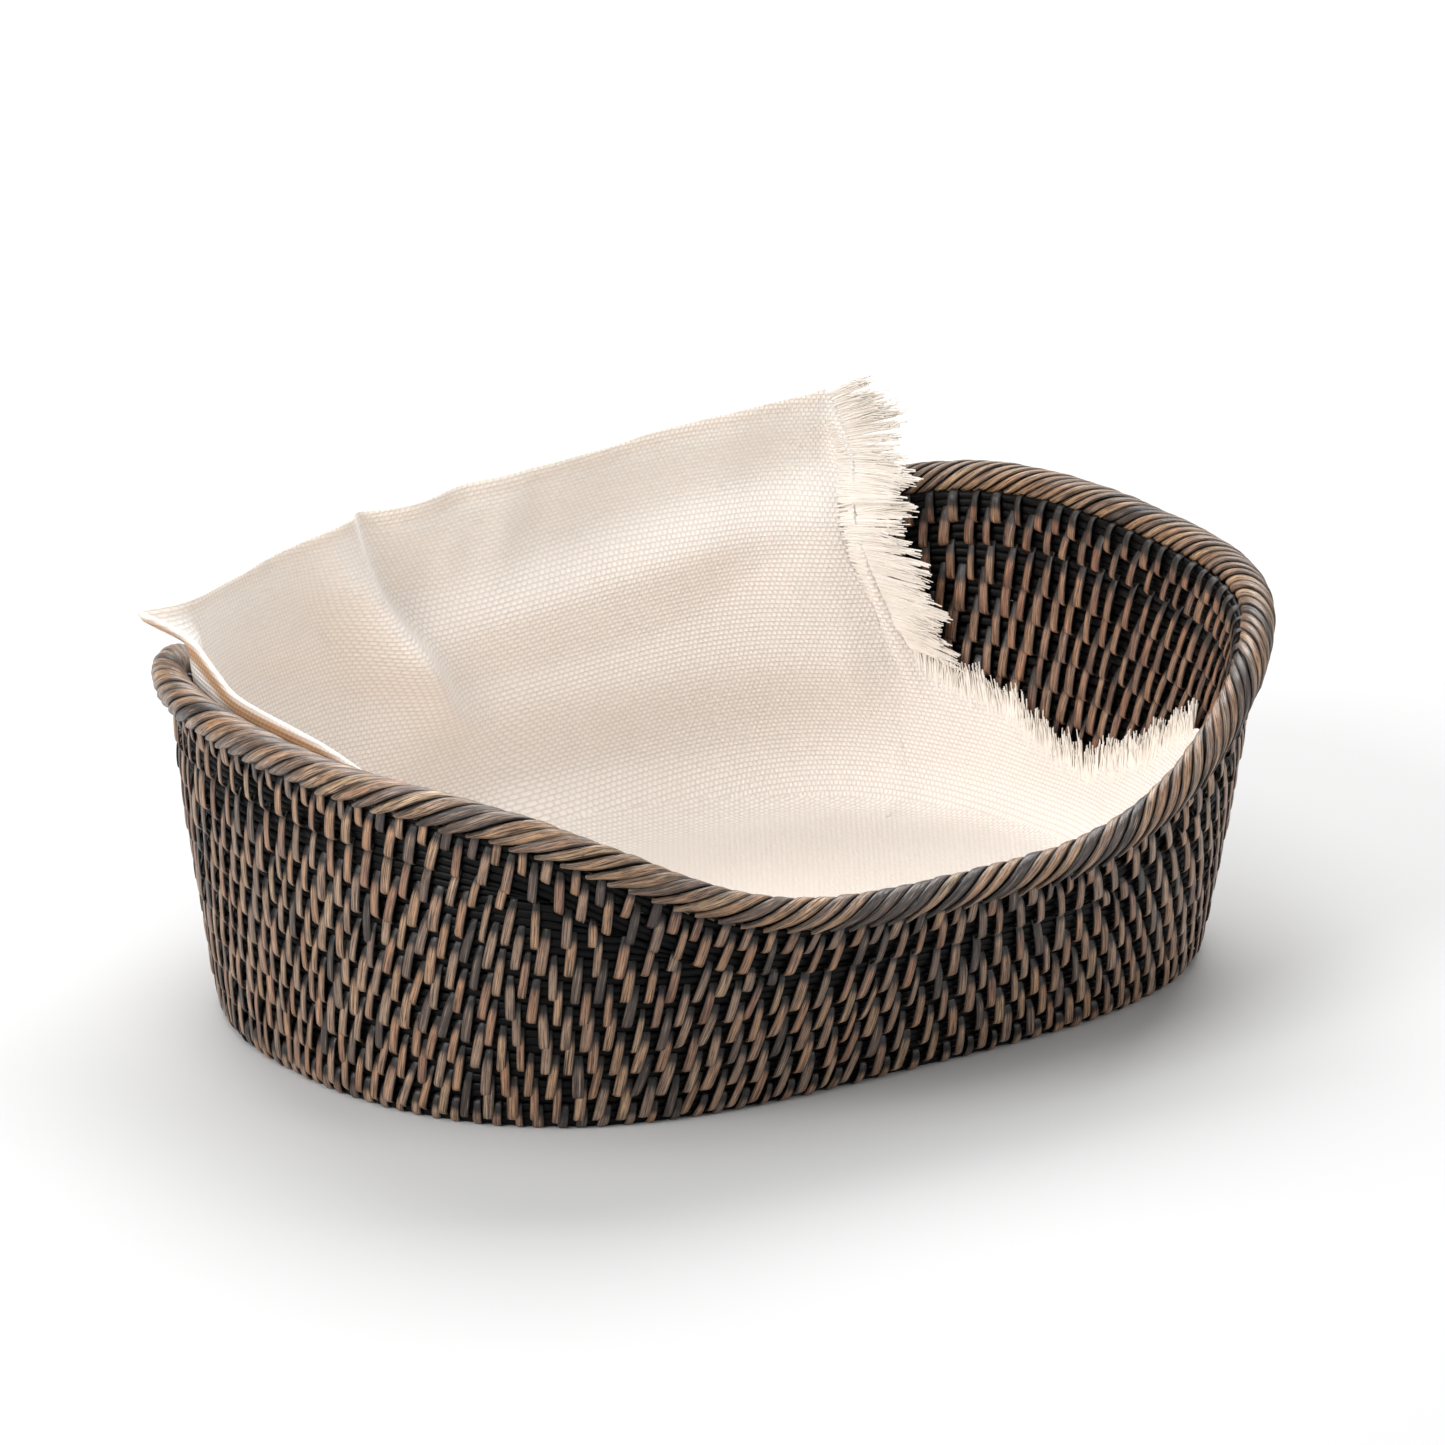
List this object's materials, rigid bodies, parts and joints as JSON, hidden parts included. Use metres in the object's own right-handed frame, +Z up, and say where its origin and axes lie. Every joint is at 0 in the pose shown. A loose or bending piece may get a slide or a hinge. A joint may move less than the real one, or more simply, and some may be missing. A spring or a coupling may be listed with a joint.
{
  "type": "oval rattan bread basket with cloth liner",
  "caption": "Oval coiled rattan basket with dipped long sides, a wrapped rope-like rim and a loose cream fringed cloth liner standing against one side.",
  "frame": {"origin": "middle of the underside of the base, on the core rod", "axes": "+X along the long axis towards the taller end, +Y towards the long side where the liner stands up, +Z up"},
  "size_m": [0.3789, 0.297, 0.158],
  "materials": {
    "dark_rattan": "stained rods under tan and grey rattan strips",
    "rim_rattan": "satin wrapped rattan strips",
    "cream_cloth": "matt basket-weave cotton with a thread fringe"
  },
  "bodies": {
    "basket": {"base_core_rod": "dark_rattan", "base_rod_01": "dark_rattan", "base_rod_02": "dark_rattan", "base_rod_03": "dark_rattan", "base_rod_04": "dark_rattan", "base_rod_05": "dark_rattan", "base_rod_06": "dark_rattan", "base_rod_07": "dark_rattan", "base_rod_08": "dark_rattan", "base_rod_09": "dark_rattan", "base_rod_10": "dark_rattan", "base_rod_11": "dark_rattan", "wall_rod_01": "dark_rattan", "wall_rod_02": "dark_rattan", "wall_rod_03": "dark_rattan", "wall_rod_04": "dark_rattan", "wall_rod_05": "dark_rattan", "wall_rod_06": "dark_rattan", "short_rod_07_left": "dark_rattan", "short_rod_07_right": "dark_rattan", "short_rod_08_left": "dark_rattan", "short_rod_08_right": "dark_rattan", "short_rod_09_left": "dark_rattan", "short_rod_09_right": "dark_rattan", "short_rod_10_left": "dark_rattan", "short_rod_10_right": "dark_rattan", "upper_rod": "dark_rattan", "neck_rod": "dark_rattan", "rim_hoop": "rim_rattan"},
    "liner": {"liner_floor": "cream_cloth", "liner_wall": "cream_cloth", "liner_fringe_end": "cream_cloth", "liner_fringe_corner": "cream_cloth"}
  },
  "joints": [
    {"name": "liner_lift", "type": "slide", "parent": "basket", "child": "liner", "axis": [0, 0, 1], "range_m": [0, 0.2]}
  ]
}
